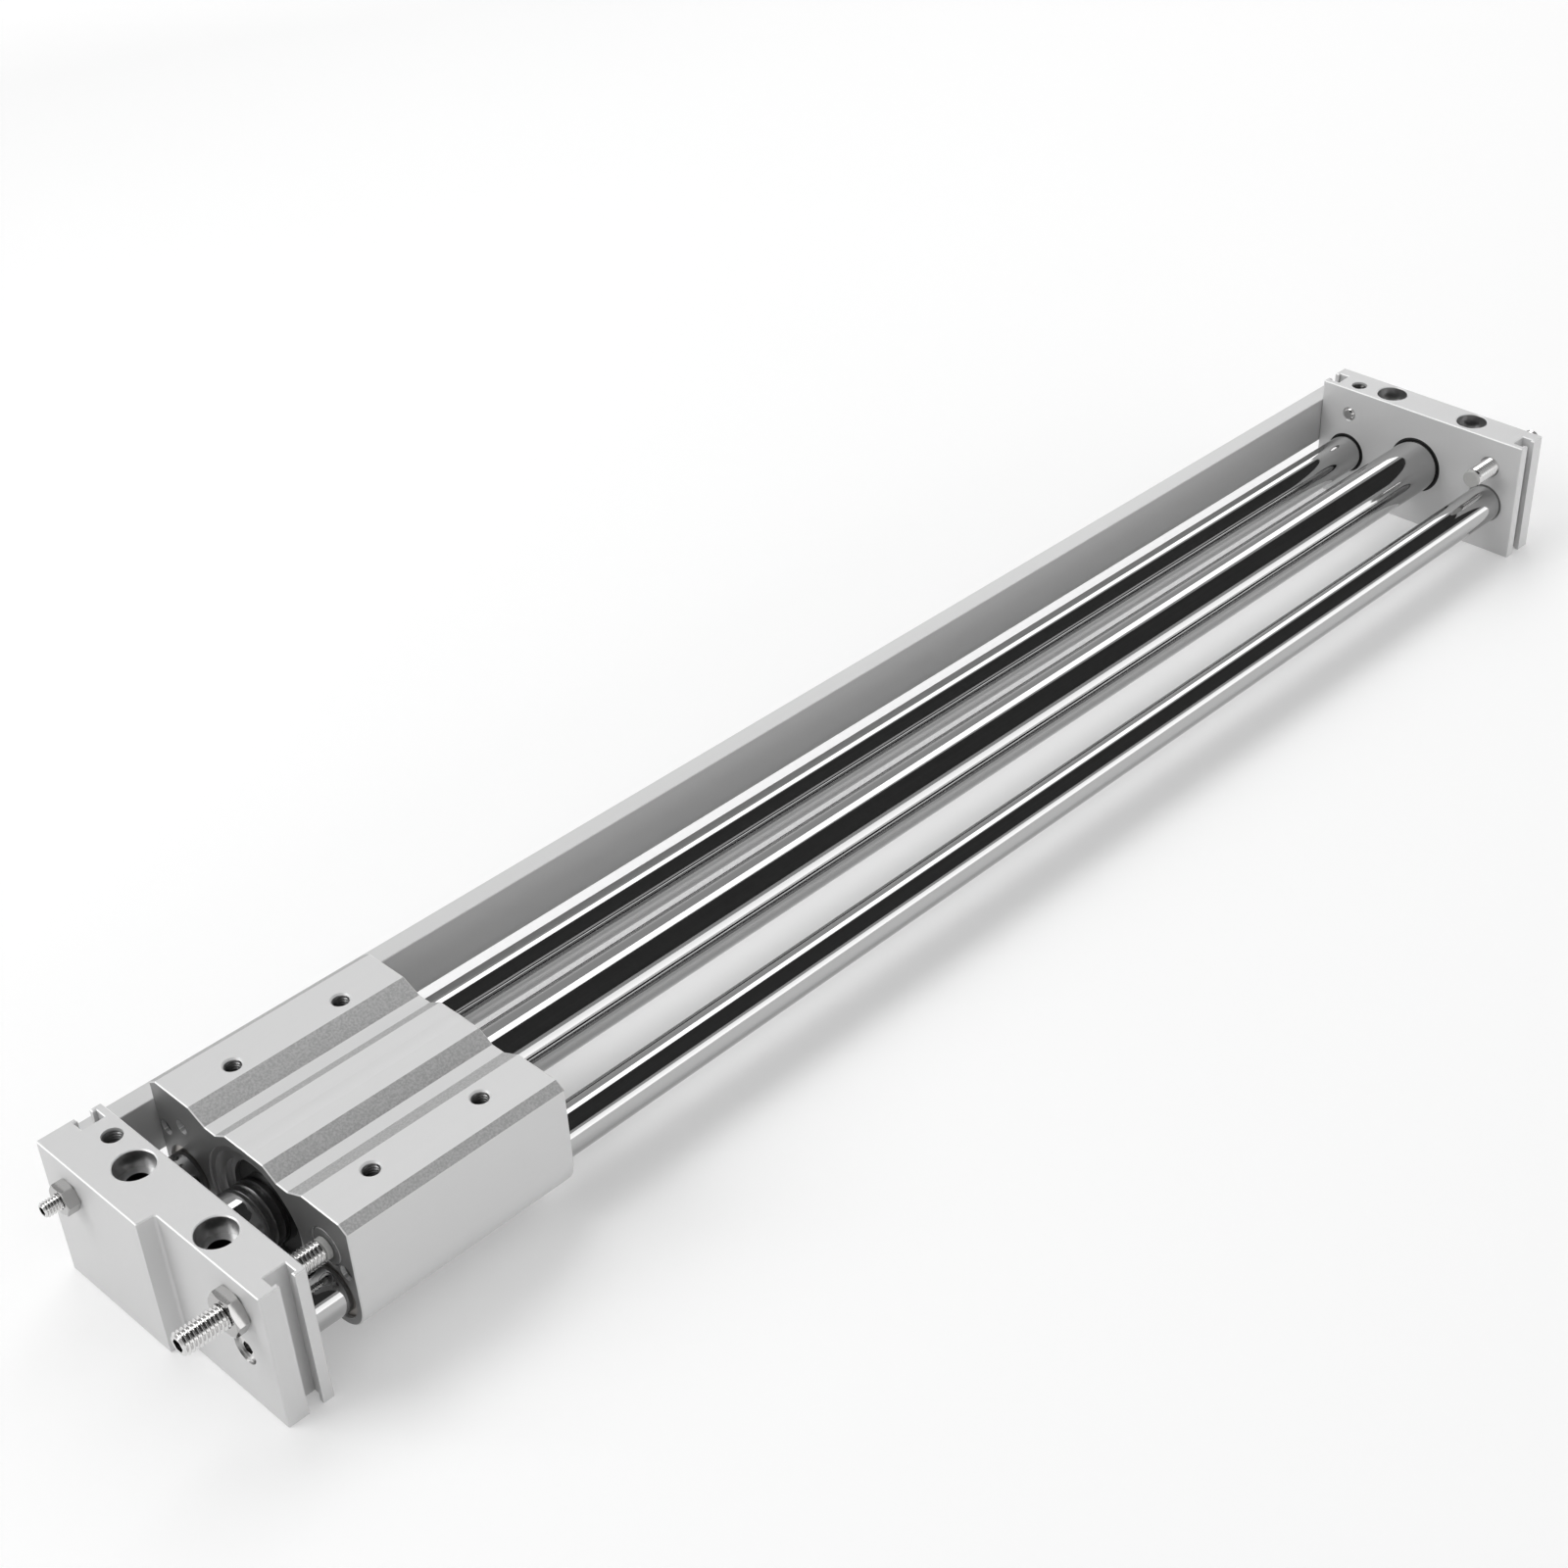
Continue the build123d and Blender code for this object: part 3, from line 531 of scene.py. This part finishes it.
def build_floor():
    """A plain pale floor that shows white to the camera and to reflections, and keeps the shadow."""
    half = FLOOR_SIZE / 2
    floor = surface("floor", [(-half, -half, 0), (half, -half, 0), (half, half, 0), (-half, half, 0)])
    make = Nodes("floor_white")
    tree = make.tree
    paper = make.noise(6.0, detail=2.0)
    tone = make.mix(paper, grey(FLOOR_WHITE - 0.01), grey(FLOOR_WHITE))
    diffuse = make.add("ShaderNodeBsdfDiffuse", Color=tone)
    rays = make.add("ShaderNodeLightPath")
    seen = make.calculate("MAXIMUM", rays.outputs["Is Camera Ray"], rays.outputs["Is Glossy Ray"])
    seen = make.calculate("MAXIMUM", seen, rays.outputs["Is Transmission Ray"])
    distance = tree.nodes.new("ShaderNodeVectorMath")
    distance.operation = "LENGTH"
    tree.links.new(make.place(), distance.inputs[0])
    level = make.spread(distance.outputs["Value"], *GLOW_RISE, FLOOR_GLOW, FAR_GLOW)
    strength = make.calculate("MULTIPLY", seen, level)
    glow = make.add("ShaderNodeEmission", Color=grey(1.0), Strength=strength)
    both = tree.nodes.new("ShaderNodeAddShader")
    make.put(both, 0, diffuse.outputs[0])
    make.put(both, 1, glow.outputs[0])
    tree.links.new(both.outputs[0], tree.nodes["Material Output"].inputs["Surface"])
    tree.nodes.remove(make.shader)
    floor.data.materials.append(make.material)


def build_world():
    """A pale surround, the same for every ray, that brightens towards the horizon."""
    world = bpy.data.worlds.new("studio")
    world.use_nodes = True
    bpy.context.scene.world = world
    tree = world.node_tree
    direction = tree.nodes.new("ShaderNodeTexCoord")
    height = tree.nodes.new("ShaderNodeSeparateXYZ")
    tree.links.new(direction.outputs["Generated"], height.inputs[0])
    level = tree.nodes.new("ShaderNodeMapRange")
    tree.links.new(height.outputs["Z"], level.inputs["Value"])
    for index, number in enumerate((0.0, HORIZON_RISE, HORIZON_LIGHT, WORLD_LIGHT)):
        level.inputs[index + 1].default_value = number
    background = tree.nodes["Background"]
    background.inputs["Color"].default_value = (1, 1, 1, 1)
    tree.links.new(level.outputs["Result"], background.inputs["Strength"])


def soft_box(name, place, aim, along, size, power):
    """Add an area light that faces a point, with its width along a given direction."""
    data = bpy.data.lights.new(name, "AREA")
    data.shape = "RECTANGLE"
    data.size, data.size_y = size
    data.energy = power
    light = bpy.data.objects.new(name, data)
    back = (Vector(place) - Vector(aim)).normalized()
    right = Vector(along) - back * back.dot(Vector(along))
    right.normalize()
    turned = Matrix((right, back.cross(right), back)).transposed().to_4x4()
    light.matrix_world = Matrix.Translation(place) @ turned
    light.visible_camera = False
    bpy.context.collection.objects.link(light)


def dark_card(name, height, x, y):
    """A black flag above the table that only reflections show."""
    corners = [(x[0], y[0], height), (x[1], y[0], height), (x[1], y[1], height), (x[0], y[1], height)]
    card = surface(name, corners)
    make = Nodes("flag_black")
    make.put(make.shader, "Base Color", make.mix(make.noise(5.0), grey(0.03), grey(0.05)))
    make.put(make.shader, "Roughness", 1.0)
    card.data.materials.append(make.material)
    card.visible_camera = False
    card.visible_diffuse = False
    card.visible_shadow = False


def build_studio():
    """Floor, surround, soft boxes and a flag."""
    build_floor()
    build_world()
    for box in SOFT_BOXES:
        soft_box(*box)
    dark_card("flag", CARD_HEIGHT, CARD_X, CARD_Y)


materials = build_materials()
dress_nodes(materials)
build_threads(materials)
build_linings(materials)
build_studio()
build_camera()
bpy.context.scene.view_settings.view_transform = "Standard"
